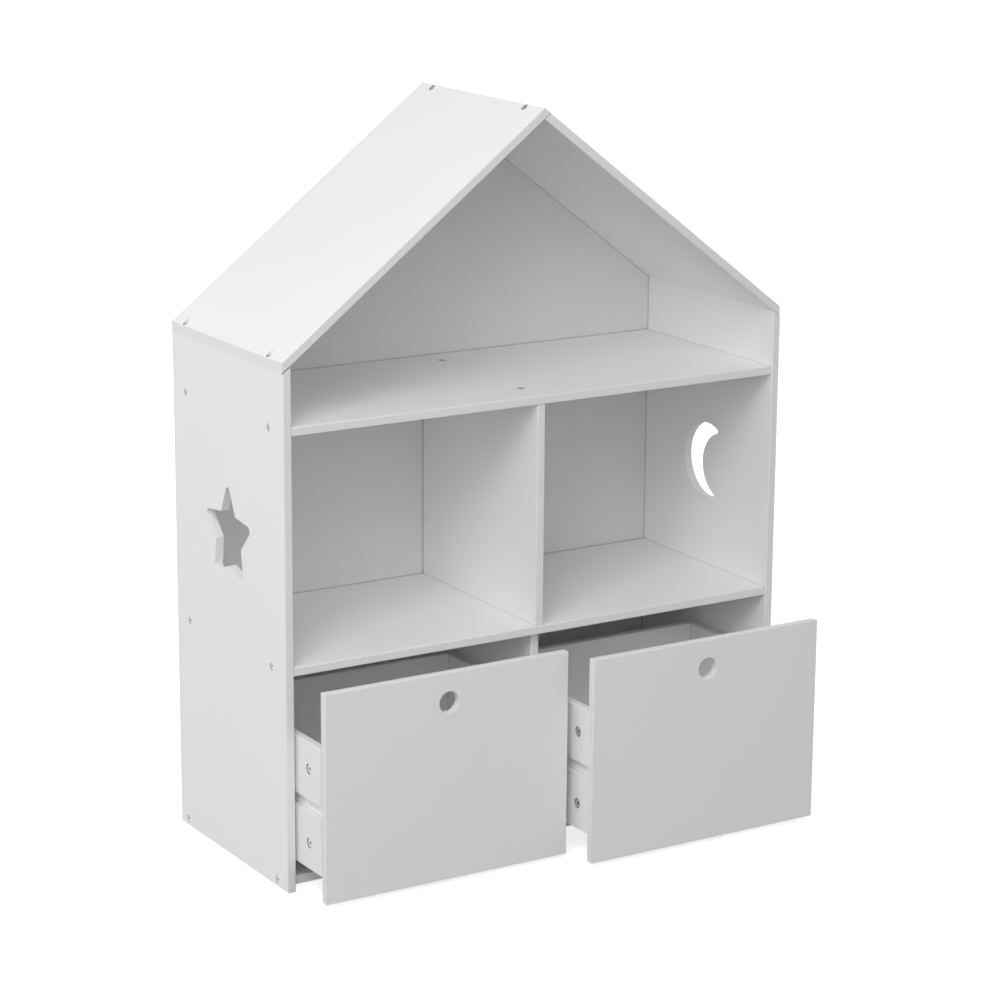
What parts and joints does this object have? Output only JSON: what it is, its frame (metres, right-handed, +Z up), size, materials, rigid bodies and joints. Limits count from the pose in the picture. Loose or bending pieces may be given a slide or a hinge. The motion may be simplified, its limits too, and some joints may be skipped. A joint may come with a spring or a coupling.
{
  "type": "house shaped bookcase with drawers",
  "caption": "White house-shaped children's bookcase: a pitched roof over an attic shelf, open cubbies, star and moon cut-outs in the sides, and pull-out drawers below.",
  "frame": {"origin": "on the floor, midway across the width and midway from the rear edges to the front face of the drawer that is pulled out furthest", "axes": "+X to the right as one faces the open front, +Y to the rear, +Z up; the drawers slide along Y"},
  "size_m": [0.8, 0.461, 1.0401],
  "materials": {
    "painted_board": "12 mm MDF, sprayed with satin white paint",
    "painted_panel": "3 mm fibreboard with a white painted face",
    "beech": "bare planed beech",
    "steel": "zinc plated, dull",
    "zinc": "die-cast zinc, dull"
  },
  "bodies": {
    "cabinet": {"left_side": "painted_board", "right_side": "painted_board", "left_roof": "painted_board", "right_roof": "painted_board", "upper_shelf": "painted_board", "middle_shelf": "painted_board", "bottom_board": "painted_board", "upper_divider": "painted_board", "lower_divider": "painted_board", "back_panel": "painted_panel", "left_outer_runner": "beech", "left_inner_runner": "beech", "right_inner_runner": "beech", "right_outer_runner": "beech", "left_side_screws": "steel", "right_side_screws": "steel", "roof_screws": "steel", "upper_divider_screws": "steel", "lower_divider_screws": "steel", "runner_screws": "steel", "shelf_dowels": "beech", "divider_dowels": "beech"},
    "left_drawer": {"left_drawer_front": "painted_board", "left_drawer_left_side": "painted_board", "left_drawer_right_side": "painted_board", "left_drawer_back": "painted_board", "left_drawer_floor": "painted_panel", "left_drawer_cam_locks": "zinc", "left_drawer_cam_bolts": "steel", "left_drawer_screws": "steel"},
    "right_drawer": {"right_drawer_front": "painted_board", "right_drawer_left_side": "painted_board", "right_drawer_right_side": "painted_board", "right_drawer_back": "painted_board", "right_drawer_floor": "painted_panel", "right_drawer_cam_locks": "zinc", "right_drawer_cam_bolts": "steel", "right_drawer_screws": "steel"}
  },
  "joints": [
    {"name": "left_drawer_slide", "type": "slide", "parent": "cabinet", "child": "left_drawer", "axis": [0, -1, 0], "range_m": [-0.081, 0.139]},
    {"name": "right_drawer_slide", "type": "slide", "parent": "cabinet", "child": "right_drawer", "axis": [0, -1, 0], "range_m": [-0.133, 0.087]}
  ]
}
